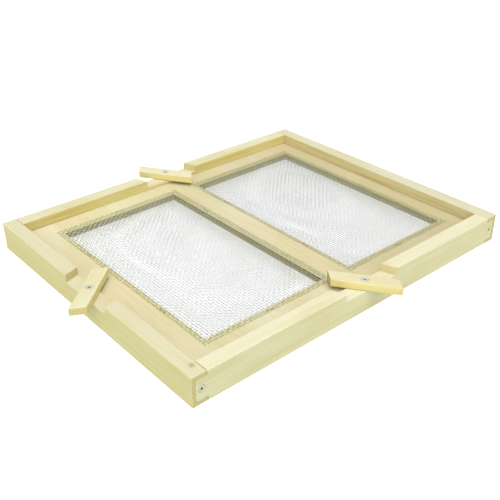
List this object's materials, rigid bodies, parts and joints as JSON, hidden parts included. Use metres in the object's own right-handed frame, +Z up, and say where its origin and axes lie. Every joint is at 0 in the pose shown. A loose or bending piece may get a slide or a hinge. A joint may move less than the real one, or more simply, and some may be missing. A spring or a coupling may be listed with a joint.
{
  "type": "hive double screen board",
  "caption": "Wooden hive board: a grooved rim holds a plywood panel with wire-screened windows, and slant-ended blocks turn on screws to open or close the entrance notches.",
  "frame": {"origin": "middle of the whole footprint, turned blocks included, on the plane that the rim stands on; the rim's own centre is 15.8 mm further along +X, because the left block reaches out on one side only", "axes": "+X runs along the long sides towards the end with no entrance notch, +Y towards the back side rail, +Z up through the side with the entrance blocks"},
  "size_m": [0.5393, 0.4807, 0.038],
  "materials": {
    "rail_wood": "planed pale softwood, unfinished, with fine straight grain",
    "block_wood": "planed pale softwood, unfinished, sawn ends",
    "plywood": "sanded plywood face, matte, with layered edges",
    "screen_wire": "galvanised woven wire, satin",
    "staple_wire": "galvanised flat staple wire",
    "screw_zinc": "bright zinc plate"
  },
  "bodies": {
    "board": {"front_side_rail": "rail_wood", "back_side_rail": "rail_wood", "left_end_rail": "rail_wood", "right_end_rail": "rail_wood", "screen_panel": "plywood", "upper_left_screen": "screen_wire", "upper_right_screen": "screen_wire", "lower_left_screen": "screen_wire", "lower_right_screen": "screen_wire", "upper_left_staple_1": "staple_wire", "upper_left_staple_2": "staple_wire", "upper_left_staple_3": "staple_wire", "upper_left_staple_4": "staple_wire", "upper_left_staple_5": "staple_wire", "upper_left_staple_6": "staple_wire", "upper_right_staple_1": "staple_wire", "upper_right_staple_2": "staple_wire", "upper_right_staple_3": "staple_wire", "upper_right_staple_4": "staple_wire", "upper_right_staple_5": "staple_wire", "upper_right_staple_6": "staple_wire", "lower_left_staple_1": "staple_wire", "lower_left_staple_2": "staple_wire", "lower_left_staple_3": "staple_wire", "lower_left_staple_4": "staple_wire", "lower_left_staple_5": "staple_wire", "lower_left_staple_6": "staple_wire", "lower_right_staple_1": "staple_wire", "lower_right_staple_2": "staple_wire", "lower_right_staple_3": "staple_wire", "lower_right_staple_4": "staple_wire", "lower_right_staple_5": "staple_wire", "lower_right_staple_6": "staple_wire", "front_pivot_screw": "screw_zinc", "back_pivot_screw": "screw_zinc", "left_pivot_screw": "screw_zinc", "corner_screw_front_left": "screw_zinc", "corner_screw_front_right": "screw_zinc", "corner_screw_back_left": "screw_zinc", "corner_screw_back_right": "screw_zinc"},
    "front_block": {"front_entrance_block": "block_wood"},
    "back_block": {"back_entrance_block": "block_wood"},
    "left_block": {"left_entrance_block": "block_wood"}
  },
  "joints": [
    {"name": "front_block_turn", "type": "hinge", "parent": "board", "child": "front_block", "pos_m": [0.01829, -0.198, 0.033], "axis": [0, 0, 1], "range_deg": [-95, 55]},
    {"name": "back_block_turn", "type": "hinge", "parent": "board", "child": "back_block", "pos_m": [0.01679, 0.198, 0.033], "axis": [0, 0, 1], "range_deg": [-94, 56]},
    {"name": "left_block_turn", "type": "hinge", "parent": "board", "child": "left_block", "pos_m": [-0.22971, -0.0025, 0.033], "axis": [0, 0, 1], "range_deg": [-101.7, 48.3]}
  ]
}
